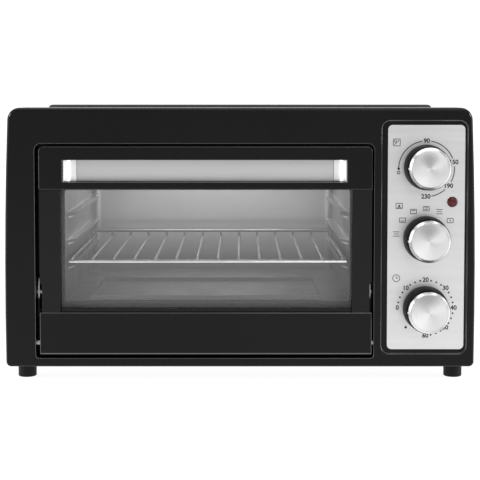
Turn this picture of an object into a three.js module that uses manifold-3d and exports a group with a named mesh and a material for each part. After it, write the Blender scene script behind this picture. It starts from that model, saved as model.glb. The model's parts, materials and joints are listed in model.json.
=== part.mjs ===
// Toaster oven: a countertop electric oven with a drop-down glass door, a wire rack, a crumb tray
// and three rotary controls.
//
// Millimetres, +Z up. The door and the controls face -Y, and +X is on the right of someone who
// stands in front of the oven. The pieces are drawn with y = 0 at the bezel's front face. The last
// lines move the whole oven back so that its origin is on the table, under the middle of its box.

import * as THREE from 'three';
import { mergeVertices } from 'three/addons/utils/BufferGeometryUtils.js';
import Module from 'manifold-3d';

const wasm = await Module();
wasm.setup();

// ---------------------------------------------------------------- driving dimensions

const GAP = 0.3; // clearance between pieces that touch
const SHEET = 0.8; // sheet steel
const WALL = 3; // moulded plastic wall

// Front bezel. Its sides bow out a little at mid height.
const BEZEL = {
  bottom: 13.7,
  top: 266.5,
  topHalf: 225.1,
  bottomHalf: 228.3,
  bow: 229.9,
  topRadius: 12,
  bottomRadius: 5,
  edge: 3.5,
  face: 5,
  depth: 36,
};

// Opening of the bezel that the door closes, and how far behind the face its return wall goes.
const OPENING = { left: -198.8, right: 129.9, bottom: 22.6, top: 231.7, radius: 6.5, depth: 20 };

// Door, in its opening. The front is proud of the bezel.
const DOOR = { left: -194.4, right: 127.9, bottom: 25.9, top: 228.8, front: -2, back: 18, radius: 5 };
const HINGE = { y: 5, z: 37, pinRadius: 2.4, boreRadius: 2.7 };
const HINGE_PIN = { inside: 10, outside: 6.5 };
const GLASS = { front: 7.8, thickness: 4, left: -185, right: 119, bottom: 62, top: 191.5 };
const WINDOW = { left: -174, right: 108.5, bottom: 71.5, top: 187.5 };
const RAIL = { top: 67.6, shelf: 60, back: 16 };
const WELL = { left: -171.6, right: 103.7, bottom: 194.5, top: 215.9, back: 12, undercut: 7, lip: 4 };
const INNER_FRAME = { left: -191.4, right: 124.9, bottom: 60.5, top: 187.2, sheet: 1.5 };
const FRAME_HOLE = { left: -171.4, right: 107.6, bottom: 72, top: 186, radius: 2 };

// Hinge arms, riveted to the inner frame.
const ARM = { radius: 60, width: 9, sheet: 1.5, first: 12, last: 94, tabFront: 9.5, tabBack: 17 };
const ARM_SIDES = [
  { side: 'left', x: -197.6, frameFace: INNER_FRAME.left, inward: 1 },
  { side: 'right', x: 126.2, frameFace: INNER_FRAME.right, inward: -1 },
];
const ARM_RIVETS = [68, 86];
const ARM_RIVET_Y = 13.2;

// Oven chamber: inside faces of its sheet walls.
const CAVITY = {
  left: -172.3,
  right: 108.2,
  front: 22.8,
  back: 273,
  floor: 75.2,
  ceiling: 240,
  bottom: 45.5,
};
const CAVITY_CORNER = 9; // bend between the back wall and the sides
const CAVITY_FLANGE = 11; // how far the back wall's sides come forward
const MOUTH_TOP = 225; // the door's top edge covers it
const CHASSIS = { left: -214, right: 216, bottom: 22, top: 258, front: 21 };
const RACK_RUNNERS = [
  { low: 103, top: 111.5 },
  { low: 127.5, top: 134 },
  { low: 154, top: 162 },
  { low: 186, top: 194 },
];
const RUNNER_REACH = 7.5;
const RUNNER_START = 26; // plain wall in front of the runners
const RUNNER_TAPER = 14;

// Wire rack.
const RACK = { left: -170.6, right: 106.4, front: 27, back: 226, barZ: 113.8, wireZ: 116.9, stopZ: 124 };
const RACK_BAR = 2;
const RACK_WIRE = 1.4;
const RACK_WIRES = 14;
const RACK_WIRE_INSET = 4.3;

// Crumb tray.
const TRAY = { left: -148.5, right: 79.5, front: 24.5, back: 150, bottom: 75.7, height: 5, sheet: 1 };

// Casing, base and rear.
const CASING = { half: 221.3, top: 262.8, bottom: 18.5, radius: 9, sheet: 0.8, front: 24, back: 299.5 };
const BASE = { half: 219.6, bottom: 18.5, flange: 14, front: 8, back: 299.3 };
const REAR = {
  half: 227.5,
  bottom: 15,
  top: 267,
  radius: 5,
  front: 289,
  back: 303,
  panelFront: 300,
  panelBack: 301.5,
};
const SIDE_VENT = { first: 70, pitch: 12, count: 10, width: 3.2, length: 28, low: 60, high: 210 };
const REAR_VENT = { pitchX: 26, pitchZ: 22, columns: 9, rows: 3, low: 168, halfLength: 9, halfWidth: 2 };
const GLAND = { x: 150, z: 58, back: 306 };

// Feet.
const FOOT = { radius: 9.1, x: 211.3, front: 26, back: 262, stemRadius: 3.7, stemTop: 23 };

// Control panel and what turns on it.
const PANEL = { left: 143, right: 217.7, bottom: 31.2, top: 249.8, radius: 4.5, front: 1, thickness: 1.2 };
const PANEL_RECESS = { left: 137.2, right: 220.2, bottom: 26.8, top: 254, radius: 8, depth: 2.5 };
const KNOB_X = 180.4;
const KNOB_Z = { temperature: 208.8, function: 139.5, timer: 71.2 };
const KNOB = { radius: 22.1, capRadius: 19.9, front: -28, split: -22.4, back: 0.3 };
const TOOTH = { reach: 0.8, half: 0.9, front: -25.6, back: -23.4 }; // pointer on the cap's edge
const SHAFT = { radius: 3, bore: 3.3, front: -18, back: 40 };
const BUSHING = { radius: 4.7, hole: 5.2, front: 3.2 };
const CONTROL_FRONT = 22.8; // front face of each control, behind the chassis
const LAMP = { x: 205.7, z: 175.2, radius: 4.6, hole: 5 };

// Heating elements: two under the ceiling and two under the floor plate.
const HEATER = { radius: 3.25, hole: 3.8, collar: 6, left: -187, right: 120 };
const HEATER_Y = { front: 95, rear: 200 };
const HEATER_Z = { upper: 231, lower: 60 };

const OVEN_FRONT = KNOB.front;
const OVEN_BACK = GLAND.back;

// ---------------------------------------------------------------- materials

const material = (color, roughness, metalness) => new THREE.MeshStandardMaterial({ color, roughness, metalness });

const BLACK_PLASTIC = material(0x1c1c1d, 0.35, 0);
const BLACK_PAINT = material(0x202021, 0.45, 0.3);
const BRUSHED_STEEL = material(0xc8c8c8, 0.35, 0.9);
const POLISHED_STEEL = material(0xe6e6e6, 0.12, 1);
const CAVITY_STEEL = material(0x9a9a9a, 0.4, 0.8);
const CHROME_WIRE = material(0xd0d0d0, 0.2, 1);
const ZINC = material(0xa8a9a6, 0.4, 0.9);
const HEATER_METAL = material(0x55534f, 0.6, 0.7);
const RUBBER = material(0x191919, 0.8, 0);
const RED_LENS = material(0x7a1f28, 0.2, 0);
const PALE_RESIN = material(0xcfc8b4, 0.6, 0);
const CLEAR_GLASS = new THREE.MeshStandardMaterial({
  color: 0xdfe3e3,
  roughness: 0.05,
  metalness: 0,
  transparent: true,
  opacity: 0.3,
});

// ---------------------------------------------------------------- solids

const WELD = 1e-4;
const ARC_STEPS = 5;
const QUARTER = Math.PI / 2;

// Signed volume of an indexed triangle list, negative when its faces point in.
function signedVolume(position, index) {
  const [a, b, c] = [new THREE.Vector3(), new THREE.Vector3(), new THREE.Vector3()];
  let total = 0;
  for (let i = 0; i < index.length; i += 3) {
    a.fromBufferAttribute(position, index[i]);
    b.fromBufferAttribute(position, index[i + 1]);
    c.fromBufferAttribute(position, index[i + 2]);
    total += a.dot(b.cross(c)) / 6;
  }
  return total;
}

// A closed three.js geometry as a solid that can be joined and cut.
function solid(geometry) {
  const bare = geometry.clone();
  bare.deleteAttribute('normal');
  bare.deleteAttribute('uv');
  const merged = mergeVertices(bare, WELD);
  const source = merged.index.array;
  const kept = [];
  for (let i = 0; i < source.length; i += 3) {
    const [a, b, c] = [source[i], source[i + 1], source[i + 2]];
    if (a !== b && b !== c && c !== a) kept.push(a, b, c);
  }
  const position = merged.attributes.position;
  if (signedVolume(position, kept) < 0) kept.reverse();
  return new wasm.Manifold(
    new wasm.Mesh({
      numProp: 3,
      vertProperties: new Float32Array(position.array),
      triVerts: new Uint32Array(kept),
    }),
  );
}

const join = (first, ...others) => others.reduce((sum, other) => sum.add(other), first);
const cut = (first, ...tools) => tools.reduce((rest, tool) => rest.subtract(tool), first);

// A solid as a named mesh.
function piece(name, shape, finish) {
  const made = shape.getMesh();
  const geometry = new THREE.BufferGeometry();
  geometry.setAttribute('position', new THREE.BufferAttribute(new Float32Array(made.vertProperties), 3));
  geometry.setIndex(new THREE.BufferAttribute(new Uint32Array(made.triVerts), 1));
  geometry.computeVertexNormals();
  const mesh = new THREE.Mesh(geometry, finish);
  mesh.name = name;
  return mesh;
}

// The same mesh again under another name and in another place.
function copyOf(mesh, name, x, y, z) {
  const copy = mesh.clone();
  copy.name = name;
  copy.position.set(x, y, z);
  return copy;
}

function group(...children) {
  const made = new THREE.Group();
  made.add(...children);
  return made;
}

function box(x0, x1, y0, y1, z0, z1) {
  const geometry = new THREE.BoxGeometry(x1 - x0, y1 - y0, z1 - z0);
  geometry.translate((x0 + x1) / 2, (y0 + y1) / 2, (z0 + z1) / 2);
  return solid(geometry);
}

// An outline in X and Z, pushed along Y. A bevel rounds both of its ends.
function extrudeY(shape, y0, y1, bevel = 0, steps = ARC_STEPS) {
  const geometry = new THREE.ExtrudeGeometry(shape, {
    depth: y1 - y0 - 2 * bevel,
    bevelEnabled: bevel > 0,
    bevelThickness: bevel,
    bevelSize: bevel,
    bevelOffset: -bevel,
    bevelSegments: 3,
    curveSegments: steps,
  });
  geometry.rotateX(QUARTER);
  geometry.translate(0, y1 - bevel, 0);
  return solid(geometry);
}

// An outline in Y and Z, pushed along X.
function extrudeX(shape, x0, x1, steps = ARC_STEPS) {
  const geometry = new THREE.ExtrudeGeometry(shape, { depth: x1 - x0, bevelEnabled: false, curveSegments: steps });
  const turn = new THREE.Matrix4().makeBasis(
    new THREE.Vector3(0, 1, 0),
    new THREE.Vector3(0, 0, 1),
    new THREE.Vector3(1, 0, 0),
  );
  geometry.applyMatrix4(turn);
  geometry.translate(x0, 0, 0);
  return solid(geometry);
}

// An outline in X and Y, pushed along Z.
function extrudeZ(shape, z0, z1, steps = ARC_STEPS) {
  const geometry = new THREE.ExtrudeGeometry(shape, { depth: z1 - z0, bevelEnabled: false, curveSegments: steps });
  geometry.translate(0, 0, z0);
  return solid(geometry);
}

// A cylinder along one axis, between two stations, at two cross coordinates.
function rod(axis, from, to, u, v, radius, sides = 16) {
  const geometry = new THREE.CylinderGeometry(radius, radius, to - from, sides);
  const middle = (from + to) / 2;
  if (axis === 'x') {
    geometry.rotateZ(-QUARTER);
    geometry.translate(middle, u, v);
  } else if (axis === 'y') {
    geometry.translate(u, middle, v);
  } else {
    geometry.rotateX(QUARTER);
    geometry.translate(u, v, middle);
  }
  return solid(geometry);
}

// A turned piece: [radius, station] pairs from one end of the axis to the other.
function turned(axis, profile, sides) {
  const points = profile.map(([radius, station]) => new THREE.Vector2(radius, station));
  const geometry = new THREE.LatheGeometry(points, sides);
  if (axis === 'x') geometry.rotateZ(-QUARTER);
  if (axis === 'z') geometry.rotateX(QUARTER);
  return solid(geometry);
}

// A closed outline through [u, v] corners.
function polygon(corners) {
  return new THREE.Shape(corners.map(([u, v]) => new THREE.Vector2(u, v)));
}

// A rectangle with round corners, counter-clockwise from its lower left.
function roundedRectangle(u0, u1, v0, v1, lower, upper = lower) {
  const shape = new THREE.Shape();
  shape.moveTo(u0 + lower, v0);
  shape.lineTo(u1 - lower, v0);
  shape.absarc(u1 - lower, v0 + lower, lower, -QUARTER, 0);
  shape.lineTo(u1, v1 - upper);
  shape.absarc(u1 - upper, v1 - upper, upper, 0, QUARTER);
  shape.lineTo(u0 + upper, v1);
  shape.absarc(u0 + upper, v1 - upper, upper, QUARTER, 2 * QUARTER);
  shape.lineTo(u0, v0 + lower);
  shape.absarc(u0 + lower, v0 + lower, lower, 2 * QUARTER, 3 * QUARTER);
  return shape;
}

// ---------------------------------------------------------------- front bezel and control panel

function bezelOutline(inset) {
  const bottom = BEZEL.bottom + inset;
  const top = BEZEL.top - inset;
  const low = BEZEL.bottomHalf - inset;
  const high = BEZEL.topHalf - inset;
  const bow = BEZEL.bow - inset;
  const lowRadius = Math.max(BEZEL.bottomRadius - inset, 1);
  const highRadius = BEZEL.topRadius - inset;
  const middle = (bottom + top) / 2;
  const shape = new THREE.Shape();
  shape.moveTo(-low + lowRadius, bottom);
  shape.lineTo(low - lowRadius, bottom);
  shape.absarc(low - lowRadius, bottom + lowRadius, lowRadius, -QUARTER, 0);
  shape.quadraticCurveTo(bow, middle, high, top - highRadius);
  shape.absarc(high - highRadius, top - highRadius, highRadius, 0, QUARTER);
  shape.lineTo(-high + highRadius, top);
  shape.absarc(-high + highRadius, top - highRadius, highRadius, QUARTER, 2 * QUARTER);
  shape.quadraticCurveTo(-bow, middle, -low, bottom + lowRadius);
  shape.absarc(-low + lowRadius, bottom + lowRadius, lowRadius, 2 * QUARTER, 3 * QUARTER);
  return shape;
}

function openingOutline(outset) {
  const { left, right, bottom, top, radius } = OPENING;
  const corner = radius + outset;
  return roundedRectangle(left - outset, right + outset, bottom - outset, top + outset, 3 + outset, corner);
}

function controlHoles(radius, y0, y1) {
  return Object.values(KNOB_Z).map((z) => rod('y', y0, y1, KNOB_X, z, radius));
}

function frontBezel() {
  const block = extrudeY(bezelOutline(0), 0, BEZEL.depth + 10, BEZEL.edge);
  const hollow = extrudeY(bezelOutline(WALL), BEZEL.face, BEZEL.depth + 20);
  const surplus = box(-300, 300, BEZEL.depth, BEZEL.depth + 30, 0, 300);
  const shell = cut(block, hollow, surplus);
  const returnWall = extrudeY(openingOutline(WALL), BEZEL.face - 1, OPENING.depth);
  const doorway = extrudeY(openingOutline(0), -5, OPENING.depth + 5);
  const recess = extrudeY(
    roundedRectangle(
      PANEL_RECESS.left,
      PANEL_RECESS.right,
      PANEL_RECESS.bottom,
      PANEL_RECESS.top,
      PANEL_RECESS.radius,
    ),
    -5,
    PANEL_RECESS.depth,
  );
  const lampHole = rod('y', -5, 10, LAMP.x, LAMP.z, LAMP.hole);
  const pinHoles = rod('x', OPENING.left - 5, OPENING.right + 5, HINGE.y, HINGE.z, HINGE.boreRadius);
  const stemHoles = [-1, 1].map((side) => rod('z', 10, 20, side * FOOT.x, FOOT.front, FOOT.stemRadius + GAP));
  const holes = [...controlHoles(BUSHING.hole, -5, 10), lampHole, pinHoles, ...stemHoles];
  return piece('front_bezel', cut(join(shell, returnWall), doorway, recess, ...holes), BLACK_PLASTIC);
}

function controlPanel() {
  const { left, right, bottom, top, radius, front, thickness } = PANEL;
  const plate = extrudeY(roundedRectangle(left, right, bottom, top, radius), front, front + thickness);
  const lampHole = rod('y', -5, 10, LAMP.x, LAMP.z, LAMP.hole);
  return piece('control_panel', cut(plate, ...controlHoles(BUSHING.hole, -5, 10), lampHole), BRUSHED_STEEL);
}

function indicator() {
  const { x, z, radius } = LAMP;
  const lens = turned('y', [[0, 8], [radius, 8], [radius, -0.4], [radius * 0.75, -1.3], [0, -1.7]], 16);
  const seat = radius + GAP;
  const holder = turned('y', [[0, 9], [seat, 9], [seat, 5.4], [7, 5.4], [7, 16], [4, 20], [0, 20]], 16);
  const lensPiece = piece('indicator_lens', lens, RED_LENS);
  const holderPiece = piece('indicator_holder', holder, BLACK_PLASTIC);
  lensPiece.position.set(x, 0, z);
  holderPiece.position.set(x, 0, z);
  return [lensPiece, holderPiece];
}

// ---------------------------------------------------------------- outer shell

// A row of upright vent slots, as tools that cut a wall between x0 and x1.
function sideVents(x0, x1, z) {
  const vents = [];
  for (let i = 0; i < SIDE_VENT.count; i += 1) {
    const y = SIDE_VENT.first + i * SIDE_VENT.pitch;
    const half = SIDE_VENT.width / 2;
    const slot = roundedRectangle(y - half, y + half, z - SIDE_VENT.length / 2, z + SIDE_VENT.length / 2, half - 0.1);
    vents.push(extrudeX(slot, x0, x1, 1));
  }
  return vents;
}

function outerCasing() {
  const { half, top, bottom, radius, sheet, front, back } = CASING;
  const shape = new THREE.Shape();
  shape.moveTo(half, bottom);
  shape.lineTo(half, top - radius);
  shape.absarc(half - radius, top - radius, radius, 0, QUARTER);
  shape.lineTo(-half + radius, top);
  shape.absarc(-half + radius, top - radius, radius, QUARTER, 2 * QUARTER);
  shape.lineTo(-half, bottom);
  shape.lineTo(-half + sheet, bottom);
  shape.lineTo(-half + sheet, top - radius);
  shape.absarc(-half + radius, top - radius, radius - sheet, 2 * QUARTER, QUARTER, true);
  shape.lineTo(half - radius, top - sheet);
  shape.absarc(half - radius, top - radius, radius - sheet, QUARTER, 0, true);
  shape.lineTo(half - sheet, bottom);
  const wrap = extrudeY(shape, front, back);
  const right = [...sideVents(half - 5, half + 5, SIDE_VENT.high), ...sideVents(half - 5, half + 5, SIDE_VENT.low)];
  const left = sideVents(-half - 5, -half + 5, SIDE_VENT.low);
  return piece('outer_casing', cut(wrap, ...right, ...left), BLACK_PAINT);
}

function basePlate() {
  const { half, bottom, flange, front, back } = BASE;
  const outline = polygon([
    [-half, bottom],
    [half, bottom],
    [half, bottom + flange],
    [half - SHEET, bottom + flange],
    [half - SHEET, bottom + SHEET],
    [-half + SHEET, bottom + SHEET],
    [-half + SHEET, bottom + flange],
    [-half, bottom + flange],
  ]);
  const plate = extrudeY(outline, front, back);
  const tools = [];
  for (const side of [-1, 1]) {
    for (const y of [FOOT.front, FOOT.back]) {
      tools.push(rod('z', 10, 25, side * FOOT.x, y, FOOT.stemRadius + GAP, 12));
    }
  }
  for (let row = 0; row < 2; row += 1) {
    for (let column = 0; column < 8; column += 1) {
      const x = -140 + column * 40;
      const y = 80 + row * 130;
      tools.push(box(x - 14, x + 14, y - 2, y + 2, 10, 25));
    }
  }
  return piece('base_plate', cut(plate, ...tools), ZINC);
}

function rearCover() {
  const { half, bottom, top, radius, front, back, panelFront, panelBack } = REAR;
  const block = extrudeY(roundedRectangle(-half, half, bottom, top, radius), front, back, 1.5, 3);
  const inner = roundedRectangle(
    -CASING.half - 0.4,
    CASING.half + 0.4,
    CASING.bottom - 0.4,
    CASING.top + 0.4,
    1,
    CASING.radius,
  );
  const shell = cut(block, extrudeY(inner, front - 5, panelFront), extrudeY(inner, panelBack, back + 5));
  const tools = [rod('y', front, back + 5, GLAND.x, GLAND.z, 7)];
  for (const [x, z] of rearScrewPlaces()) tools.push(rod('y', front, back + 5, x, z, 2.3, 10));
  const middle = (CAVITY.left + CAVITY.right) / 2;
  for (let row = 0; row < REAR_VENT.rows; row += 1) {
    for (let column = 0; column < REAR_VENT.columns; column += 1) {
      const x = middle + (column - (REAR_VENT.columns - 1) / 2) * REAR_VENT.pitchX;
      const z = REAR_VENT.low + row * REAR_VENT.pitchZ;
      const { halfLength, halfWidth } = REAR_VENT;
      const slot = roundedRectangle(x - halfLength, x + halfLength, z - halfWidth, z + halfWidth, halfWidth - 0.1);
      tools.push(extrudeY(slot, 290, 310, 0, 1));
    }
  }
  return piece('rear_cover', cut(shell, ...tools), BLACK_PAINT);
}

function rearScrewPlaces() {
  return [
    [-205, 35],
    [205, 35],
    [-205, 245],
    [205, 245],
  ];
}

function rearScrews() {
  const face = REAR.panelBack + GAP;
  const tip = face - 15;
  const profile = [[0, tip], [1.9, tip], [1.9, face], [3.8, face], [3.8, face + 1], [2.6, face + 2], [0, face + 2.1]];
  const screw = turned('y', profile, 12);
  const slots = [box(-2.2, 2.2, face + 1, face + 4, -0.45, 0.45), box(-0.45, 0.45, face + 1, face + 4, -2.2, 2.2)];
  const first = piece('rear_screw_1', cut(screw, ...slots), ZINC);
  return rearScrewPlaces().map(([x, z], i) => copyOf(first, `rear_screw_${i + 1}`, x, 0, z));
}

function cordGland() {
  const { x, z, back } = GLAND;
  const face = REAR.panelBack + GAP;
  const profile = [
    [3.8, 294],
    [8, 294],
    [8, REAR.panelFront - GAP],
    [6.6, REAR.panelFront - GAP],
    [6.6, face],
    [9.5, face],
    [9.5, back - 1.5],
    [8, back],
    [3.8, back],
    [3.8, 294],
  ];
  const gland = piece('cord_gland', turned('y', profile, 20), BLACK_PLASTIC);
  gland.position.set(x, 0, z);
  return gland;
}

function feet() {
  const { radius, x, front, back, stemRadius, stemTop } = FOOT;
  const shape = (top) => [
    [0, 0],
    [radius - 0.8, 0],
    [radius, 0.8],
    [radius, top],
    [stemRadius, top],
    [stemRadius, stemTop - 1],
    [stemRadius - 1, stemTop],
    [0, stemTop],
  ];
  const frontFoot = piece('foot', turned('z', shape(BEZEL.bottom - GAP), 20), RUBBER);
  const rearFoot = piece('foot', turned('z', shape(BASE.bottom - GAP), 20), RUBBER);
  return [
    copyOf(frontFoot, 'foot_front_left', -x, front, 0),
    copyOf(frontFoot, 'foot_front_right', x, front, 0),
    copyOf(rearFoot, 'foot_rear_left', -x, back, 0),
    copyOf(rearFoot, 'foot_rear_right', x, back, 0),
  ];
}

// ---------------------------------------------------------------- oven chamber

// Plate behind the bezel that carries the chamber and the controls.
function chassisFront() {
  const { left, right, bottom, top, front } = CHASSIS;
  const plate = extrudeY(roundedRectangle(left, right, bottom, top, 4), front, front + SHEET);
  const mouth = extrudeY(
    roundedRectangle(CAVITY.left, CAVITY.right, CAVITY.floor + GAP, MOUTH_TOP, 2),
    front - 5,
    front + 5,
  );
  const armSlots = ARM_SIDES.map(({ x }) => box(x - 1.5, x + 3, front - 5, front + 5, 86, 103));
  return piece('chassis_front', cut(plate, mouth, ...armSlots, ...controlHoles(5.5, 10, 30)), ZINC);
}

// Inside face of a side wall: the sheet is pressed inwards into runners that carry the rack.
function sideWallFace() {
  const face = [[0, CAVITY.bottom]];
  for (const { low, top } of RACK_RUNNERS) {
    face.push([0, low], [RUNNER_REACH, low + 4], [RUNNER_REACH, top], [0, top]);
  }
  face.push([0, CAVITY.ceiling]);
  return face;
}

function sideWallBack() {
  const back = [[-SHEET, CAVITY.ceiling]];
  for (const { low, top } of [...RACK_RUNNERS].reverse()) {
    back.push([-SHEET, top - SHEET], [RUNNER_REACH - SHEET, top - SHEET]);
    back.push([RUNNER_REACH - SHEET, low + 4.5], [-SHEET, low + 0.5]);
  }
  back.push([-SHEET, CAVITY.bottom]);
  return back;
}

// Plain at the mouth, then each runner rises from a tapered end, then it is open behind.
function sideWall(name, face, inward) {
  const section = (points) => polygon(points.map(([u, v]) => [face + inward * u, v]));
  const { front, back, bottom, ceiling } = CAVITY;
  const start = front + RUNNER_START;
  const flatBack = [[-SHEET, ceiling], [-SHEET, bottom]];
  const mouth = extrudeY(section([[0, bottom], [0, ceiling], ...flatBack]), front, start);
  const ends = extrudeY(section([...sideWallFace(), ...flatBack]), start, start + SHEET);
  const tapers = RACK_RUNNERS.map(({ low, top }) => {
    const outline = [[face, start - RUNNER_TAPER], [face + inward * RUNNER_REACH, start], [face, start]];
    return extrudeZ(polygon(outline), low + 4, top);
  });
  const runners = extrudeY(
    section([...sideWallFace(), ...sideWallBack()]),
    start + SHEET,
    back - CAVITY_FLANGE - GAP,
  );
  const holes = [];
  for (const y of Object.values(HEATER_Y)) {
    for (const z of Object.values(HEATER_Z)) holes.push(rod('x', face - 10, face + 10, y, z, HEATER.hole, 10));
  }
  return piece(name, cut(join(mouth, ends, runners, ...tapers), ...holes), CAVITY_STEEL);
}

// The back wall's sides come forward round a bend to meet the side walls.
function cavityBack() {
  const { left, right, back, bottom, ceiling } = CAVITY;
  const front = back - CAVITY_FLANGE;
  const r = CAVITY_CORNER;
  const outerR = r + SHEET;
  const shape = new THREE.Shape();
  shape.moveTo(left, front);
  shape.lineTo(left, back - r);
  shape.absarc(left + r, back - r, r, 2 * QUARTER, QUARTER, true);
  shape.lineTo(right - r, back);
  shape.absarc(right - r, back - r, r, QUARTER, 0, true);
  shape.lineTo(right, front);
  shape.lineTo(right + SHEET, front);
  shape.lineTo(right + SHEET, back - r);
  shape.absarc(right - r, back - r, outerR, 0, QUARTER);
  shape.lineTo(left + r, back + SHEET);
  shape.absarc(left + r, back - r, outerR, QUARTER, 2 * QUARTER);
  shape.lineTo(left - SHEET, front);
  return piece('cavity_back', extrudeZ(shape, bottom, ceiling), CAVITY_STEEL);
}

function cavityPlates() {
  const { left, right, front, back, floor, ceiling, bottom } = CAVITY;
  const over = 5;
  const roof = box(left - over, right + over, front, back + over, ceiling + GAP, ceiling + GAP + SHEET);
  const base = box(left - over, right + over, front, back + over, bottom - GAP - SHEET, bottom - GAP);
  const floorBack = back - CAVITY_FLANGE - GAP;
  const foot = bottom + GAP;
  const section = polygon([
    [front, foot],
    [front, floor],
    [floorBack, floor],
    [floorBack, foot],
    [floorBack - SHEET, foot],
    [floorBack - SHEET, floor - SHEET],
    [front + SHEET, floor - SHEET],
    [front + SHEET, foot],
  ]);
  return [
    piece('cavity_ceiling', roof, CAVITY_STEEL),
    piece('cavity_bottom', base, CAVITY_STEEL),
    piece('cavity_floor', extrudeX(section, left + GAP, right - GAP), CAVITY_STEEL),
  ];
}

// A sheathed element with a ceramic collar outside each side wall and a terminal at each end.
function heaters() {
  const { radius, collar, left, right } = HEATER;
  const leftWall = CAVITY.left - SHEET - GAP;
  const rightWall = CAVITY.right + SHEET + GAP;
  const profile = [
    [0, left],
    [1.6, left],
    [1.6, left + 6],
    [collar, left + 6],
    [collar, leftWall],
    [radius, leftWall],
    [radius, rightWall],
    [collar, rightWall],
    [collar, right - 6],
    [1.6, right - 6],
    [1.6, right],
    [0, right],
  ];
  const first = piece('heater', turned('x', profile, 10), HEATER_METAL);
  const made = [];
  for (const [level, z] of Object.entries(HEATER_Z)) {
    for (const [place, y] of Object.entries(HEATER_Y)) made.push(copyOf(first, `heater_${level}_${place}`, 0, y, z));
  }
  return made;
}

// ---------------------------------------------------------------- controls behind the panel

// A bushing in front of a body, with a blind bore for the shaft.
function controlSolid(body, z) {
  const bushing = rod('y', BUSHING.front, CONTROL_FRONT + 1, KNOB_X, z, BUSHING.radius);
  const bore = rod('y', -5, SHAFT.back + GAP, KNOB_X, z, SHAFT.bore);
  return cut(join(body, bushing), bore);
}

function terminals(places, y0, y1) {
  return places.map(([x, z]) => box(x - 3, x + 3, y0, y1, z - 0.4, z + 0.4));
}

function thermostat() {
  const z = KNOB_Z.temperature;
  const frame = box(KNOB_X - 16, KNOB_X + 16, CONTROL_FRONT, CONTROL_FRONT + 22, z - 20, z + 20);
  const tabs = terminals([[KNOB_X - 10, z - 12], [KNOB_X + 10, z - 12]], CONTROL_FRONT + 21, CONTROL_FRONT + 30);
  const dome = rod('y', CONTROL_FRONT + 21, CONTROL_FRONT + 26, KNOB_X, z + 8, 9);
  return piece('thermostat', controlSolid(join(frame, ...tabs, dome), z), ZINC);
}

function functionSwitch() {
  const z = KNOB_Z.function;
  const wafer = box(KNOB_X - 18, KNOB_X + 18, CONTROL_FRONT, CONTROL_FRONT + 26, z - 18, z + 18);
  const places = [-12, 0, 12].flatMap((u) => [[KNOB_X + u, z - 12], [KNOB_X + u, z + 12]]);
  const tabs = terminals(places, CONTROL_FRONT + 25, CONTROL_FRONT + 33);
  return piece('function_switch', controlSolid(join(wafer, ...tabs), z), PALE_RESIN);
}

function timer() {
  const z = KNOB_Z.timer;
  const movement = box(KNOB_X - 22, KNOB_X + 22, CONTROL_FRONT, CONTROL_FRONT + 30, z - 26, z + 26);
  const post = rod('y', CONTROL_FRONT + 29, CONTROL_FRONT + 36, KNOB_X, z, 3);
  const bell = turned(
    'y',
    [
      [3.5, 64],
      [12, 64],
      [19, 60],
      [21, 54.5],
      [22, 54.5],
      [20, 61],
      [12.5, 65.2],
      [3.5, 65.2],
      [3.5, 64],
    ],
    20,
  );
  const bellPiece = piece('timer_bell', bell, POLISHED_STEEL);
  const nut = rod('y', CONTROL_FRONT + 35, 68, KNOB_X, z, 2.8, 6);
  bellPiece.position.set(KNOB_X, 0, z);
  return [piece('timer', controlSolid(join(movement, post, nut), z), ZINC), bellPiece];
}

function terminalBlock() {
  const block = box(150, 192, 215, 233, 20.2, 36);
  const channels = [157, 171, 185].map((x) => box(x - 4, x + 4, 210, 240, 31, 40));
  return piece('terminal_block', cut(block, ...channels), PALE_RESIN);
}

// ---------------------------------------------------------------- knobs

function knob(name, z) {
  const { radius, capRadius, front, split, back } = KNOB;
  const skirt = turned(
    'y',
    [
      [0, SHAFT.front - GAP],
      [SHAFT.bore, SHAFT.front - GAP],
      [SHAFT.bore, back],
      [radius, back],
      [radius, back - 2],
      [capRadius + 0.9, split + 1],
      [capRadius + 0.2, split],
      [0, split],
    ],
    36,
  );
  const disc = turned(
    'y',
    [
      [0, split - GAP],
      [capRadius, split - GAP],
      [capRadius, split - 2.6],
      [capRadius - 0.5, split - 3.1],
      [capRadius - 3.3, front + 0.3],
      [capRadius - 3.8, front],
      [0, front],
    ],
    36,
  );
  const { reach, half } = TOOTH;
  const tooth = box(-capRadius - reach, -capRadius + 1, TOOTH.front, TOOTH.back, -half, half);
  const shaft = turned(
    'y',
    [
      [0, SHAFT.front],
      [SHAFT.radius, SHAFT.front],
      [SHAFT.radius, SHAFT.back],
      [0, SHAFT.back],
    ],
    14,
  );
  const made = group(
    piece(`${name}_knob`, skirt, BLACK_PLASTIC),
    piece(`${name}_knob_cap`, join(disc, tooth), BRUSHED_STEEL),
    piece(`${name}_shaft`, shaft, ZINC),
  );
  made.position.set(KNOB_X, 0, z);
  return made;
}

// ---------------------------------------------------------------- door

// Handle moulding across the top of the door, with a finger well that runs up behind its lip.
function doorHandle() {
  const { left, right, top, front, back, radius } = DOOR;
  const outline = roundedRectangle(left, right, WINDOW.top, top, 0.5, radius);
  const block = extrudeY(outline, front, back, 0);
  const mouth = box(WELL.left, WELL.right, front - 5, WELL.back, WELL.bottom, WELL.top);
  const behindLip = box(WELL.left, WELL.right, WELL.lip, WELL.back, WELL.bottom, WELL.top + WELL.undercut);
  const groove = box(
    GLASS.left - GAP,
    GLASS.right + GAP,
    GLASS.front - GAP,
    GLASS.front + GLASS.thickness + GAP,
    WINDOW.top - 5,
    GLASS.top + GAP,
  );
  return piece('door_handle', cut(block, mouth, behindLip, groove), BLACK_PLASTIC);
}

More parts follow.
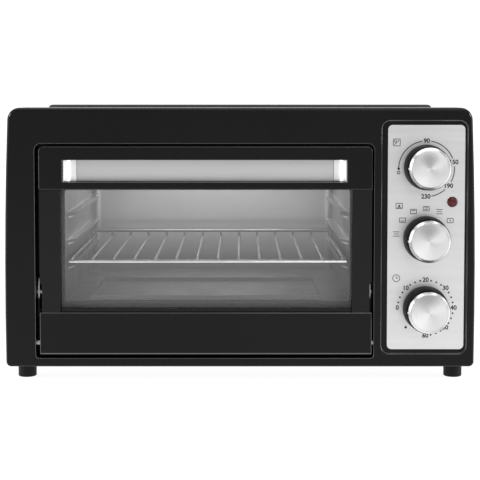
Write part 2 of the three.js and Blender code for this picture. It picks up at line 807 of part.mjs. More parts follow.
// Steel lining of the finger well, with a polished cove at each end.
function handleTrim() {
  const y0 = WELL.back - GAP - 1;
  const y1 = WELL.back - GAP;
  const cove = 12;
  const low = WELL.bottom + GAP;
  const margin = cove + 2 * GAP;
  const high = WELL.top + WELL.undercut - GAP;
  const plate = box(WELL.left + margin, WELL.right - margin, y0, y1, low, high);
  const end = (name, x, inward) => {
    const shape = new THREE.Shape();
    const points = [[x + inward * GAP, y1], [x + inward * GAP, 0.5], [x + inward * (GAP + 1), 0.5]];
    const steps = 6;
    for (let i = 0; i <= steps; i += 1) {
      const angle = (QUARTER * i) / steps;
      points.push([x + inward * (cove + GAP - (cove - 1) * Math.cos(angle)), 1 + (y0 - 1) * Math.sin(angle)]);
    }
    points.push([x + inward * (cove + GAP), y1]);
    shape.setFromPoints(points.map(([u, v]) => new THREE.Vector2(u, v)));
    return piece(name, extrudeZ(shape, low, WELL.top - GAP), POLISHED_STEEL);
  };
  return [
    piece('handle_plate', plate, BRUSHED_STEEL),
    end('handle_end_left', WELL.left, 1),
    end('handle_end_right', WELL.right, -1),
  ];
}

// A stile with a notch at its foot that leaves room for the hinge arm.
function doorStile(name, outside, inside) {
  const inward = Math.sign(inside - outside);
  const low = RAIL.top + GAP;
  const high = WINDOW.top - GAP;
  const notch = outside + inward * 2.1;
  const outline = polygon([
    [notch, low],
    [inside, low],
    [inside, high],
    [outside, high],
    [outside, 97],
    [notch, 95],
  ]);
  return piece(name, extrudeY(outline, DOOR.front + 0.4, GLASS.front - GAP), BLACK_PAINT);
}

function doorRail() {
  const { left, right, bottom, front } = DOOR;
  const glassSide = GLASS.front - GAP;
  const section = polygon([
    [front + 1.5, bottom],
    [RAIL.back - 2, bottom],
    [RAIL.back, bottom + 2],
    [RAIL.back, RAIL.shelf],
    [glassSide, RAIL.shelf],
    [glassSide, RAIL.top],
    [front, RAIL.top],
    [front, bottom + 1.5],
  ]);
  const rail = extrudeX(section, left, right);
  const bores = [
    rod('x', left - 5, left + HINGE_PIN.inside + GAP, HINGE.y, HINGE.z, HINGE.boreRadius, 12),
    rod('x', right - HINGE_PIN.inside - GAP, right + 5, HINGE.y, HINGE.z, HINGE.boreRadius, 12),
  ];
  return piece('door_bottom_rail', cut(rail, ...bores), BLACK_PLASTIC);
}

// Thin frame that borders the glass below the window.
function glassBead() {
  const { left, right, bottom } = WINDOW;
  const bead = box(left + GAP, right - GAP, DOOR.front + 2, GLASS.front - GAP, RAIL.top + GAP, bottom);
  return piece('window_bead', bead, BLACK_PAINT);
}

function doorGlass() {
  const { front, thickness, left, right, bottom, top } = GLASS;
  return piece('door_glass', box(left, right, front, front + thickness, bottom, top), CLEAR_GLASS);
}

// Pressed steel pan on the inside of the door. Its rim goes round the glass.
function doorInnerFrame() {
  const { left, right, bottom, top, sheet } = INNER_FRAME;
  const rimFront = GLASS.front;
  const plateFront = GLASS.front + GLASS.thickness + GAP;
  const back = plateFront + 5;
  const block = box(left, right, rimFront, back, bottom, top);
  const glassRoom = box(left + sheet, right - sheet, rimFront - 1, plateFront, bottom + sheet, top + 5);
  const pan = box(left + sheet, right - sheet, plateFront + sheet, back + 1, bottom + sheet, top - sheet);
  const { left: holeLeft, right: holeRight, bottom: holeBottom, top: holeTop, radius } = FRAME_HOLE;
  const holeOutline = roundedRectangle(holeLeft, holeRight, holeBottom, holeTop, radius);
  const hole = extrudeY(holeOutline, rimFront - 1, back + 1);
  const rivetHoles = ARM_RIVETS.map((z) => rod('x', left - 5, right + 5, ARM_RIVET_Y, z, 2.1, 8));
  return piece('door_inner_frame', cut(block, glassRoom, pan, hole, ...rivetHoles), BLACK_PAINT);
}

// A quadrant about the hinge that slides into the body beside the chamber.
function hingeArm({ side, x, frameFace, inward }) {
  const { radius, width, sheet, first, last, tabFront, tabBack } = ARM;
  const point = (r, degrees) => {
    const angle = THREE.MathUtils.degToRad(degrees);
    return [HINGE.y + r * Math.sin(angle), HINGE.z + r * Math.cos(angle)];
  };
  const steps = 12;
  const outside = [];
  const inside = [];
  for (let i = 0; i <= steps; i += 1) {
    const degrees = first + ((last - first) * i) / steps;
    outside.push(point(radius + width / 2, degrees));
    inside.push(point(radius - width / 2, degrees));
  }
  const quadrant = extrudeX(polygon([...outside, ...inside.reverse()]), x, x + sheet);
  const tabOutline = [
    [tabFront, 62],
    [tabBack, 62],
    [tabBack + 3, 90],
    [tabBack + 3, 99],
    [tabFront + 4, 99],
    [tabFront, 92],
  ];
  const tab = extrudeX(polygon(tabOutline), x, x + sheet);
  const near = inward > 0 ? x + sheet - 0.2 : x + 0.2;
  const far = frameFace + inward * (INNER_FRAME.sheet + 1);
  const rivets = ARM_RIVETS.map((z) => rod('x', Math.min(near, far), Math.max(near, far), ARM_RIVET_Y, z, 1.8, 8));
  const head = inward > 0 ? [x - 0.9, x + 0.2] : [x + sheet - 0.2, x + sheet + 0.9];
  const heads = ARM_RIVETS.map((z) => rod('x', head[0], head[1], ARM_RIVET_Y, z, 2.6, 10));
  return piece(`hinge_arm_${side}`, join(quadrant, tab, ...rivets, ...heads), ZINC);
}

// Fixed plate behind the chassis, with the pin that the arm rides over.
function hingeBracket({ side, x, inward }) {
  const plateX = inward > 0 ? x + 4.5 : x - 4.5;
  const sheet = 1.5;
  const outline = polygon([[22.6, 30], [40, 30], [56, 50], [56, 74], [22.6, 84]]);
  const plate = extrudeX(outline, plateX, plateX + sheet);
  const pinFrom = inward > 0 ? x - 2 : plateX + 1;
  const pinTo = inward > 0 ? plateX + 0.5 : x + 3.5;
  const pin = rod('x', pinFrom, pinTo, 39, 71, 4, 12);
  return piece(`hinge_bracket_${side}`, join(plate, pin), ZINC);
}

function hingePins() {
  const { y, z, pinRadius } = HINGE;
  const { inside, outside } = HINGE_PIN;
  const left = rod('x', DOOR.left - outside, DOOR.left + inside, y, z, pinRadius, 14);
  const right = rod('x', DOOR.right - inside, DOOR.right + outside, y, z, pinRadius, 14);
  return [piece('hinge_pin_left', left, ZINC), piece('hinge_pin_right', right, ZINC)];
}

// ---------------------------------------------------------------- rack and tray

function rackWirePlaces() {
  const first = RACK.left + RACK_WIRE_INSET;
  const pitch = (RACK.right - RACK.left - 2 * RACK_WIRE_INSET) / (RACK_WIRES - 1);
  return Array.from({ length: RACK_WIRES }, (_, i) => first + i * pitch);
}

// Thick rods along the front and the sides, with thin wires across them.
function wireRack() {
  const { left, right, front, back, barZ, wireZ } = RACK;
  const bar = rod('x', left, right, front, barZ, RACK_BAR, 8);
  const sides = rackSides().map((x) => rod('y', front, back - RACK_BAR - GAP, x, barZ, RACK_BAR, 8));
  const wires = rackWirePlaces().map((x) => rod('y', front - 1, back - RACK_WIRE - GAP, x, wireZ, RACK_WIRE, 6));
  return piece('wire_rack', join(bar, ...sides, ...wires), CHROME_WIRE);
}

// The raised rail along the rack's back that stops a pan, with the bent-up ends of the wires.
function rackBackRail() {
  const { left, right, back, barZ, wireZ, stopZ } = RACK;
  const bar = rod('x', left, right, back, stopZ, RACK_BAR, 8);
  const corners = rackSides().map((x) => rod('z', barZ - RACK_BAR, stopZ, x, back, RACK_BAR, 8));
  const ends = rackWirePlaces().map((x) => rod('z', wireZ - RACK_WIRE, stopZ, x, back, RACK_WIRE, 6));
  return piece('rack_back_rail', join(bar, ...corners, ...ends), CHROME_WIRE);
}

function rackSides() {
  return [RACK.left + RACK_BAR, RACK.right - RACK_BAR];
}

function crumbTray() {
  const { left, right, front, back, bottom, height, sheet } = TRAY;
  const flare = 3;
  const block = box(left, right, front, back, bottom, bottom + height);
  const room = box(left + sheet, right - sheet, front + sheet, back - sheet, bottom + sheet, bottom + height + 5);
  const grip = box(left + 90, right - 90, front - flare + 1.5, front + 0.5, bottom + height - 1, bottom + height);
  return piece('crumb_tray', join(cut(block, room), grip), CAVITY_STEEL);
}

// ---------------------------------------------------------------- assembly

const body = group(
  frontBezel(),
  controlPanel(),
  ...indicator(),
  outerCasing(),
  basePlate(),
  rearCover(),
  ...rearScrews(),
  cordGland(),
  ...feet(),
  chassisFront(),
  sideWall('cavity_side_left', CAVITY.left, 1),
  sideWall('cavity_side_right', CAVITY.right, -1),
  cavityBack(),
  ...cavityPlates(),
  ...heaters(),
  thermostat(),
  functionSwitch(),
  ...timer(),
  terminalBlock(),
  ...ARM_SIDES.map(hingeBracket),
);

const door = group(
  doorHandle(),
  ...handleTrim(),
  doorStile('door_stile_left', DOOR.left, WINDOW.left),
  doorStile('door_stile_right', DOOR.right, WINDOW.right),
  doorRail(),
  glassBead(),
  doorGlass(),
  doorInnerFrame(),
  ...ARM_SIDES.map(hingeArm),
  ...hingePins(),
);

const knobs = group(...Object.entries(KNOB_Z).map(([name, z]) => knob(name, z)));

const oven = group(body, door, knobs, wireRack(), rackBackRail(), crumbTray());
oven.position.y = -(OVEN_FRONT + OVEN_BACK) / 2;

export default oven;
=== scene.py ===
"""Looks of a countertop toaster oven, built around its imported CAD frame.

Metres, +Z up, the door and the controls face -Y. Every place comes from the frame's boxes.
"""

import json
import math

import bmesh
import bpy
from mathutils import Matrix, Vector


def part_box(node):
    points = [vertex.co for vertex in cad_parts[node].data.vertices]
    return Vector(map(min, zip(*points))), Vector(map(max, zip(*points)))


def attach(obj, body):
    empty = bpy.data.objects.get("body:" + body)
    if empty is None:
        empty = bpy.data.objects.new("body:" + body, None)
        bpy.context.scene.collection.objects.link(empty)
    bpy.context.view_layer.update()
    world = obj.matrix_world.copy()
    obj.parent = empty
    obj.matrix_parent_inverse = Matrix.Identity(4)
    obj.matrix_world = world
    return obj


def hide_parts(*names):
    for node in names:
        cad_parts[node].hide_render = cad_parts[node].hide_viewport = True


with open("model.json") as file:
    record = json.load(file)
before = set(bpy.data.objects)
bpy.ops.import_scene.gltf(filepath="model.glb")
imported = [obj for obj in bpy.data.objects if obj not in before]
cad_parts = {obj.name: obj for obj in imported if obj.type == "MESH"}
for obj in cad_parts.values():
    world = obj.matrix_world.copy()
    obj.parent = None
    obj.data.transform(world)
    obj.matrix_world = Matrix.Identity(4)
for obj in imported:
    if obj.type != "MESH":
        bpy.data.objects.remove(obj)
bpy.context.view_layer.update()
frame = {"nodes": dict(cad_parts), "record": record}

MM = 0.001
BODY = "oven_body"
SLOTS = {part["node"]: part["material_slot"] for part in frame["record"]["subparts"]}
BODY_OF = {node: body for body, nodes in frame["record"]["behaviour"]["bodies"].items() for node in nodes}


# ---------------------------------------------------------------- camera, stage and lights

CAMERA_DISTANCE = 1.25
CAMERA_HEIGHT = 0.280
CAMERA_LENS = 97.2
CAMERA_PITCH = math.radians(3.34)
CAMERA_SHIFT = -0.1475


def make_camera():
    data = bpy.data.cameras.new("camera")
    data.lens = CAMERA_LENS
    data.shift_y = CAMERA_SHIFT
    camera = bpy.data.objects.new("camera", data)
    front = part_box("front_bezel")[0].y
    camera.location = (0, front - CAMERA_DISTANCE, CAMERA_HEIGHT)
    camera.rotation_euler = (math.pi / 2 - CAMERA_PITCH, 0, 0)
    bpy.context.scene.collection.objects.link(camera)
    bpy.context.scene.camera = camera


PAPER_GREY = 0.25
PAPER_GLOW = 0.92


def make_stage():
    """A lit white sweep: a floor that curves up into a backdrop far behind the oven."""
    half, near, far, bend, height = 4.0, -4.0, 2.2, 1.2, 3.0
    steps = 12
    section = [(near, 0.0), (far - bend, 0.0)]
    for i in range(1, steps + 1):
        angle = math.pi / 2 * i / steps
        section.append((far - bend + bend * math.sin(angle), bend - bend * math.cos(angle)))
    section.append((far, height))
    verts = [(side * half, y, z) for side in (-1, 1) for y, z in section]
    count = len(section)
    faces = [(i, i + 1, count + i + 1, count + i) for i in range(count - 1)]
    mesh = bpy.data.meshes.new("sweep")
    mesh.from_pydata(verts, [], [face[::-1] for face in faces])
    mesh.shade_smooth()
    sweep = bpy.data.objects.new("sweep", mesh)
    bpy.context.scene.collection.objects.link(sweep)
    material = bpy.data.materials.new("pale_paper")
    material.use_nodes = True
    shader = material.node_tree.nodes["Principled BSDF"]
    shader.inputs["Base Color"].default_value = (PAPER_GREY, PAPER_GREY, PAPER_GREY, 1)
    shader.inputs["Roughness"].default_value = 0.9
    shader.inputs["Specular IOR Level"].default_value = 0.0
    shader.inputs["Emission Color"].default_value = (1, 1, 1, 1)
    shader.inputs["Emission Strength"].default_value = PAPER_GLOW
    mesh.materials.append(material)


LIT_POINT = (0, 0, 0.14)
STUDIO_LIGHTS = (  # name, place, size, watts
    ("top_softbox", (0, -0.1, 1.9), (2.4, 1.6), 26),
    ("left_softbox", (-1.9, -0.6, 0.7), (1.4, 1.4), 22),
    ("right_softbox", (1.9, -0.6, 0.7), (1.4, 1.4), 26),
    ("front_fill", (0.5, -2.4, 1.3), (1.0, 0.8), 7),
)
CHAMBER_FILL = {"forward": 0.16, "drop": 0.016, "aim_drop": 0.04, "size": (0.2, 0.02), "watts": 0.22}
SKY = 0.42


def area_light(name, place, target, size, watts):
    data = bpy.data.lights.new(name, "AREA")
    data.shape = "RECTANGLE"
    data.size, data.size_y = size
    data.energy = watts
    light = bpy.data.objects.new(name, data)
    light.location = place
    light.rotation_euler = (Vector(target) - Vector(place)).to_track_quat("-Z", "Y").to_euler()
    light.visible_camera = False
    bpy.context.scene.collection.objects.link(light)


def make_lights():
    """Softboxes round the oven, and a small strip under the chamber's ceiling."""
    for name, place, size, watts in STUDIO_LIGHTS:
        area_light(name, place, LIT_POINT, size, watts)
    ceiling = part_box("cavity_ceiling")[0].z
    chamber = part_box("cavity_back")
    x = (chamber[0].x + chamber[1].x) / 2
    back = chamber[0].y
    place = (x, back - CHAMBER_FILL["forward"], ceiling - CHAMBER_FILL["drop"])
    target = (x, back, ceiling - CHAMBER_FILL["aim_drop"])
    area_light("chamber_fill", place, target, CHAMBER_FILL["size"], CHAMBER_FILL["watts"])


def make_world():
    world = bpy.data.worlds.new("studio")
    world.use_nodes = True
    background = world.node_tree.nodes["Background"]
    background.inputs["Color"].default_value = (1, 1, 1, 1)
    background.inputs["Strength"].default_value = SKY
    scene = bpy.context.scene
    scene.world = world
    scene.view_settings.view_transform = "Standard"
    scene.view_settings.exposure = 0.0


# ---------------------------------------------------------------- finishes


class Finish:
    """A principled material with procedural layers on object coordinates, in metres."""

    def __init__(self, name, color, roughness, metallic=0.0, **sockets):
        self.material = bpy.data.materials.new(name)
        self.material.use_nodes = True
        self.tree = self.material.node_tree
        self.shader = self.tree.nodes["Principled BSDF"]
        self.color = color
        self.shader.inputs["Base Color"].default_value = (*color, 1)
        self.shader.inputs["Roughness"].default_value = roughness
        self.shader.inputs["Metallic"].default_value = metallic
        for socket, value in sockets.items():
            self.shader.inputs[socket.replace("_", " ")].default_value = value
        self.coordinates = self.node("ShaderNodeTexCoord").outputs["Object"]

    def node(self, kind, **values):
        made = self.tree.nodes.new(kind)
        for key, value in values.items():
            made.inputs[key].default_value = value
        return made

    def link(self, source, target):
        self.tree.links.new(source, target)

    def mapped(self, stretch, centre=(0, 0, 0)):
        mapping = self.node("ShaderNodeMapping")
        mapping.vector_type = "TEXTURE"
        mapping.inputs["Location"].default_value = centre
        mapping.inputs["Scale"].default_value = stretch
        self.link(self.coordinates, mapping.inputs["Vector"])
        return mapping.outputs["Vector"]

    def noise(self, scale, detail=3.0, stretch=(1, 1, 1)):
        """Noise with that many cells per metre. A stretch makes it longer along an axis."""
        texture = self.node("ShaderNodeTexNoise", Scale=scale, Detail=detail)
        self.link(self.mapped(stretch), texture.inputs["Vector"])
        return texture.outputs["Fac"]

    def spread(self, factor, low, high, start=0.3, end=0.7):
        """The factor between start and end, spread over low to high."""
        ranged = self.node("ShaderNodeMapRange")
        limits = {"From Min": start, "From Max": end, "To Min": low, "To Max": high}
        for socket, value in limits.items():
            ranged.inputs[socket].default_value = value
        self.link(factor, ranged.inputs["Value"])
        return ranged.outputs["Result"]

    def shade(self, factor, low, high):
        """Varies the base colour between two brightnesses."""
        mix = self.node("ShaderNodeMix")
        mix.data_type = "RGBA"
        dark = tuple(channel * low for channel in self.color)
        light = tuple(min(channel * high, 1) for channel in self.color)
        mix.inputs[6].default_value = (*dark, 1)
        mix.inputs[7].default_value = (*light, 1)
        self.link(self.spread(factor, 0, 1), mix.inputs["Factor"])
        self.link(mix.outputs[2], self.shader.inputs["Base Color"])
        return self

    def rough(self, factor, low, high):
        self.link(self.spread(factor, low, high), self.shader.inputs["Roughness"])
        return self

    def bump(self, factor, height, strength=1.0):
        """Raises the surface by up to that height, in metres, on top of any earlier bump."""
        bump = self.node("ShaderNodeBump", Strength=strength, Distance=height)
        self.link(factor, bump.inputs["Height"])
        normal = self.shader.inputs["Normal"]
        if normal.is_linked:
            self.link(normal.links[0].from_socket, bump.inputs["Normal"])
        self.link(bump.outputs["Normal"], normal)
        return self


def moulded_plastic(name, color, roughness):
    finish = Finish(name, color, roughness, Specular_IOR_Level=0.17)
    fine = finish.noise(2600, 2.0)
    broad = finish.noise(9, 3.0)
    finish.shade(broad, 0.85, 1.2)
    finish.rough(fine, roughness - 0.05, roughness + 0.08)
    finish.bump(fine, 0.03 * MM, 0.5)
    return finish.material


def painted_sheet(name, color, roughness):
    """Satin paint over sheet steel, with a slight orange peel."""
    finish = Finish(name, color, roughness, Specular_IOR_Level=0.22)
    peel = finish.noise(900, 3.0)
    finish.shade(finish.noise(14, 4.0), 0.93, 1.08)
    finish.rough(peel, roughness - 0.03, roughness + 0.04)
    finish.bump(peel, 0.06 * MM, 0.6)
    return finish.material


BRUSH_STRETCH = 60


def brushed_metal(name, color, roughness, axis):
    """Sheet brushed along one axis: 0 is X, 2 is Z."""
    finish = Finish(name, color, roughness, metallic=1.0)
    stretch = [1, 1, 1]
    stretch[axis] = BRUSH_STRETCH
    streaks = finish.noise(1700, 4.0, stretch)
    wide = finish.noise(160, 3.0, stretch)
    finish.shade(wide, 0.975, 1.02)
    finish.rough(streaks, roughness - 0.08, roughness + 0.12)
    finish.bump(streaks, 0.02 * MM, 0.5)
    return finish.material


REFLECTION_BANDS = 2.0  # painted reflection: light bands in one turn
REFLECTION_PHASE = 0.52
REFLECTION_SHADES = (0.72, 0.99)


def spun_metal(name, color, roughness):
    """Metal turned about the local Y axis: fine rings, and soft light and dark bands painted in as its
    reflection.
    """
    finish = Finish(name, color, roughness, metallic=1.0, Anisotropic=0.7)
    split = finish.node("ShaderNodeSeparateXYZ")
    finish.link(finish.coordinates, split.inputs["Vector"])
    radius = finish.node("ShaderNodeVectorMath")
    radius.operation = "LENGTH"
    flat = finish.node("ShaderNodeCombineXYZ")
    finish.link(split.outputs["X"], flat.inputs["X"])
    finish.link(split.outputs["Z"], flat.inputs["Z"])
    finish.link(flat.outputs["Vector"], radius.inputs[0])
    ring_place = finish.node("ShaderNodeCombineXYZ")
    finish.link(radius.outputs["Value"], ring_place.inputs["X"])
    rings = finish.node("ShaderNodeTexNoise", Scale=5200, Detail=3.0)
    finish.link(ring_place.outputs["Vector"], rings.inputs["Vector"])
    angle = finish.node("ShaderNodeMath")
    angle.operation = "ARCTAN2"
    finish.link(split.outputs["Z"], angle.inputs[0])
    finish.link(split.outputs["X"], angle.inputs[1])
    painted_bands = finish.node("ShaderNodeMath")
    painted_bands.operation = "SINE"
    turns = finish.node("ShaderNodeMath")
    turns.operation = "MULTIPLY_ADD"
    turns.inputs[1].default_value = REFLECTION_BANDS
    turns.inputs[2].default_value = REFLECTION_PHASE
    finish.link(angle.outputs["Value"], turns.inputs[0])
    finish.link(turns.outputs["Value"], painted_bands.inputs[0])
    # painted reflection: the colour swings light and dark round the axis, in place of the spun metal's
    # highlights
    finish.shade(finish.spread(painted_bands.outputs["Value"], 0.3, 0.7, -1, 1), *REFLECTION_SHADES)
    finish.rough(rings.outputs["Fac"], roughness - 0.07, roughness + 0.1)
    finish.bump(rings.outputs["Fac"], 0.01 * MM, 0.4)
    tangent = finish.node("ShaderNodeTangent")
    tangent.direction_type = "RADIAL"
    tangent.axis = "Y"
    finish.link(tangent.outputs["Tangent"], finish.shader.inputs["Tangent"])
    return finish.material


SHADE_HEIGHTS = (0.082, 0.128)  # painted shade: the chamber is darkest below the first and unshaded above the second
SHADE_AND_CLOUD_RANGE = (0.44, 1.07)
CLOUD_SHARE = 0.25


def chamber_metal(name, color, roughness):
    """Coated sheet, a little clouded, with painted shade that darkens it below the rack."""
    finish = Finish(name, color, roughness, metallic=0.8)
    clouds = finish.noise(26, 5.0)
    place = finish.node("ShaderNodeSeparateXYZ")
    finish.link(finish.coordinates, place.inputs["Vector"])
    # painted shade: the colour darkens towards the bottom, between the two heights
    shade_by_height = finish.spread(place.outputs["Z"], 0, 1, *SHADE_HEIGHTS)
    clouds_and_shade = finish.node("ShaderNodeMath")
    clouds_and_shade.operation = "MULTIPLY_ADD"
    clouds_and_shade.inputs[1].default_value = CLOUD_SHARE
    finish.link(clouds, clouds_and_shade.inputs[0])
    finish.link(shade_by_height, clouds_and_shade.inputs[2])
    finish.shade(finish.spread(clouds_and_shade.outputs["Value"], 0.3, 0.7, 0.05, 1.2), *SHADE_AND_CLOUD_RANGE)
    finish.rough(finish.noise(30, 3.0), roughness - 0.04, roughness + 0.06)
    finish.bump(finish.noise(2400, 2.0), 0.01 * MM, 0.2)
    return finish.material


def plain_metal(name, color, roughness, cells=500):
    finish = Finish(name, color, roughness, metallic=1.0)
    grain = finish.noise(cells, 4.0)
    finish.shade(finish.noise(40, 3.0), 0.9, 1.08)
    finish.rough(grain, max(roughness - 0.06, 0.02), roughness + 0.08)
    finish.bump(grain, 0.03 * MM, 0.3)
    return finish.material


def glossy_edge_highlight(name, color):
    """The polished edge of a moulding, lighter in colour than the moulding: a painted highlight."""
    finish = Finish(name, color, 0.2, Specular_IOR_Level=1.0, Coat_Weight=1.0, Coat_Roughness=0.1)
    grain = finish.noise(700, 2.0)
    finish.rough(grain, 0.16, 0.26)
    finish.bump(grain, 0.01 * MM, 0.2)
    return finish.material


BAND_HEIGHTS = (0.047, 0.050)  # above the arm's lowest point: black below, bright above
BLACKENED = 0.02
UPPER_BAND_GREY = 0.6


def banded_arm(name):
    """Blackened steel, light grey above a set height, where the arm slides through its slot."""
    finish = Finish(name, (BLACKENED, BLACKENED, BLACKENED), 0.4, metallic=1.0)
    height = finish.node("ShaderNodeSeparateXYZ")
    finish.link(finish.coordinates, height.inputs["Vector"])
    arm_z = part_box("hinge_arm_left")[0].z
    dark_below, bright_above = BAND_HEIGHTS
    upper_band = finish.spread(height.outputs["Z"], 0, 1, arm_z + dark_below, arm_z + bright_above)
    mix = finish.node("ShaderNodeMix")
    mix.data_type = "RGBA"
    mix.inputs[6].default_value = (BLACKENED, BLACKENED, BLACKENED, 1)
    mix.inputs[7].default_value = (UPPER_BAND_GREY, UPPER_BAND_GREY, UPPER_BAND_GREY, 1)
    finish.link(upper_band, mix.inputs["Factor"])
    finish.link(mix.outputs[2], finish.shader.inputs["Base Color"])
    finish.rough(finish.noise(900, 3.0), 0.3, 0.5)
    return finish.material


def soft_rubber(name):
    finish = Finish(name, (0.003, 0.003, 0.003), 0.5, Specular_IOR_Level=0.2)
    grain = finish.noise(1500, 3.0)
    finish.shade(finish.noise(120, 3.0), 0.8, 1.3)
    finish.rough(grain, 0.42, 0.58)
    finish.bump(grain, 0.05 * MM, 0.5)
    return finish.material


def clear_glass(name):
    """A thin clear pane: mostly see-through, with a clean reflection and faint smears."""
    finish = Finish(name, (0.8, 0.8, 0.8), 0.03, Alpha=0.07, IOR=1.5)
    finish.rough(finish.noise(12, 4.0), 0.02, 0.07)
    finish.material.blend_method = "BLEND"
    return finish.material


def lamp_red(name):
    finish = Finish(name, (0.06, 0.006, 0.01), 0.22, Specular_IOR_Level=0.35)
    finish.shader.inputs["Emission Color"].default_value = (0.4, 0.02, 0.04, 1)
    finish.shader.inputs["Emission Strength"].default_value = 0.05
    cells = finish.noise(700, 1.0)
    finish.shade(cells, 0.7, 1.4)
    finish.bump(cells, 0.15 * MM, 0.4)
    return finish.material


def resin(name):
    finish = Finish(name, (0.5, 0.45, 0.34), 0.55)
    finish.shade(finish.noise(70, 4.0), 0.85, 1.1)
    finish.bump(finish.noise(900, 2.0), 0.04 * MM, 0.4)
    return finish.material


def printed_ink(name):
    finish = Finish(name, (0.007, 0.007, 0.0075), 0.5)
    finish.shade(finish.noise(1200, 2.0), 0.8, 1.4)
    finish.rough(finish.noise(2500, 2.0), 0.45, 0.6)
    return finish.material


FINISHES = {
    "black_plastic": moulded_plastic("black_plastic_finish", (0.003, 0.003, 0.0031), 0.3),
    "black_paint": painted_sheet("black_paint_finish", (0.0042, 0.0042, 0.0044), 0.36),
    "brushed_steel": brushed_metal("brushed_steel_finish", (0.68, 0.68, 0.685), 0.36, 0),
    "polished_steel": plain_metal("polished_steel_finish", (0.97, 0.97, 0.97), 0.32),
    "chamber_steel": chamber_metal("chamber_steel_finish", (0.46, 0.46, 0.46), 0.32),
    "chrome_wire": plain_metal("chrome_wire_finish", (0.78, 0.78, 0.79), 0.16, 900),
    "zinc_steel": plain_metal("zinc_steel_finish", (0.42, 0.42, 0.41), 0.4),
    "heater_sheath": plain_metal("heater_sheath_finish", (0.1, 0.095, 0.09), 0.55),
    "rubber": soft_rubber("rubber_finish"),
    "red_lens": lamp_red("red_lens_finish"),
    "resin": resin("resin_finish"),
    "glass": clear_glass("glass_finish"),
}
SPUN = spun_metal("spun_metal_finish", (0.8, 0.8, 0.805), 0.3)
BRIGHT_RIM = plain_metal("bright_rim_finish", (0.8, 0.8, 0.8), 0.3, 1500)
SKIRT = moulded_plastic("skirt_finish", (0.001, 0.001, 0.001), 0.5)
# painted highlight: these edge colours are lighter than the black mouldings whose bevels they cover
BEZEL_EDGE_HIGHLIGHT = glossy_edge_highlight("bezel_edge_highlight_finish", (0.05, 0.05, 0.052))
DOOR_EDGE_HIGHLIGHT = glossy_edge_highlight("door_edge_highlight_finish", (0.006, 0.006, 0.006))
GREY_PAINT = painted_sheet("grey_paint_finish", (0.05, 0.05, 0.053), 0.4)
WELL_STEEL = brushed_metal("well_steel_finish", (0.6, 0.6, 0.605), 0.38, 0)
ARM_STEEL = banded_arm("banded_arm_finish")
# painted shade: a darker copy of the chamber steel for the chamber floor and the crumb tray
SHADED_TRAY_STEEL = chamber_metal("shaded_tray_finish", (0.24, 0.24, 0.24), 0.4)
# painted shade: a darker copy of the chrome wire for the rack behind its front bar
SHADED_WIRE = plain_metal("shaded_wire_finish", (0.32, 0.32, 0.32), 0.38, 900)
INK = printed_ink("ink_finish")


# ---------------------------------------------------------------- mesh helpers


def finish_nodes():
    """Gives every CAD node its finish. Nodes that a piece replaces are hidden later."""
    for name, node in frame["nodes"].items():
        for slot in node.material_slots:
            slot.material = FINISHES[SLOTS[name]]


def shade(mesh, angle=35.0):
    mesh.shade_smooth()
    mesh.set_sharp_from_angle(angle=math.radians(angle))


def weigh(obj):
    modifier = obj.modifiers.new("weighted", "WEIGHTED_NORMAL")
    modifier.keep_sharp = True
    modifier.weight = 80


def object_from(name, bm, material, origin=(0, 0, 0)):
    """A linked object whose mesh is the bmesh, which is in row coordinates."""
    bmesh.ops.translate(bm, vec=-Vector(origin), verts=bm.verts)
    bmesh.ops.recalc_face_normals(bm, faces=bm.faces)
    mesh = bpy.data.meshes.new(name)
    bm.to_mesh(mesh)
    bm.free()
    if "custom_normal" in mesh.attributes:
        mesh.attributes.remove(mesh.attributes["custom_normal"])
    mesh.materials.append(material)
    shade(mesh)
    obj = bpy.data.objects.new(name, mesh)
    obj.location = origin
    bpy.context.scene.collection.objects.link(obj)
    return obj


def stand_for(obj, *nodes):
    """The piece rides with the nodes' body and hides them."""
    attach(obj, BODY_OF[nodes[0]])
    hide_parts(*nodes)


def faces_front(edge, deepest):
    """True for an edge that runs across the front, no further back than that Y."""
    first, second = (vert.co.y for vert in edge.verts)
    return abs(first - second) < 0.1 * MM and max(first, second) < deepest


def round_edges(bm, width, angle, segments=2, edge_slot=0, deepest=None):
    limit = math.radians(angle)
    sharp = [edge for edge in bm.edges if edge.is_manifold and edge.calc_face_angle(0) > limit]
    if deepest is not None:
        sharp = [edge for edge in sharp if faces_front(edge, deepest)]
    bmesh.ops.bevel(
        bm,
        geom=sharp,
        offset=width,
        segments=segments,
        profile=0.5,
        affect="EDGES",
        clamp_overlap=True,
        material=edge_slot,
    )


def skin(node, width=0.5 * MM, angle=30.0, segments=2, material=None, edge=None, deepest=None):
    """A finer copy of a CAD node: flat faces made whole, and the sharp edges rounded."""
    bm = bmesh.new()
    bm.from_mesh(frame["nodes"][node].data)
    for face in bm.faces:
        face.material_index = 0
    bmesh.ops.remove_doubles(bm, verts=bm.verts, dist=1e-6)
    bmesh.ops.dissolve_limit(bm, angle_limit=math.radians(0.6), verts=bm.verts, edges=bm.edges)
    round_edges(bm, width, angle, segments, 1 if edge else 0, deepest)
    obj = object_from(f"{node}_skin", bm, material or FINISHES[SLOTS[node]])
    if edge:
        obj.data.materials.append(edge)
    weigh(obj)
    stand_for(obj, node)
    return obj


def join_rings(bm, rings, steps):
    """Faces between each ring and the next. A ring of one vertex closes to a point."""
    for first, second in zip(rings, rings[1:]):
        for i in range(steps):
            j = (i + 1) % steps
            near = [first[i % len(first)], first[j % len(first)]]
            far = [second[j % len(second)], second[i % len(second)]]
            corners = list(dict.fromkeys(near + far))
            if len(corners) > 2:
                bm.faces.new(corners)


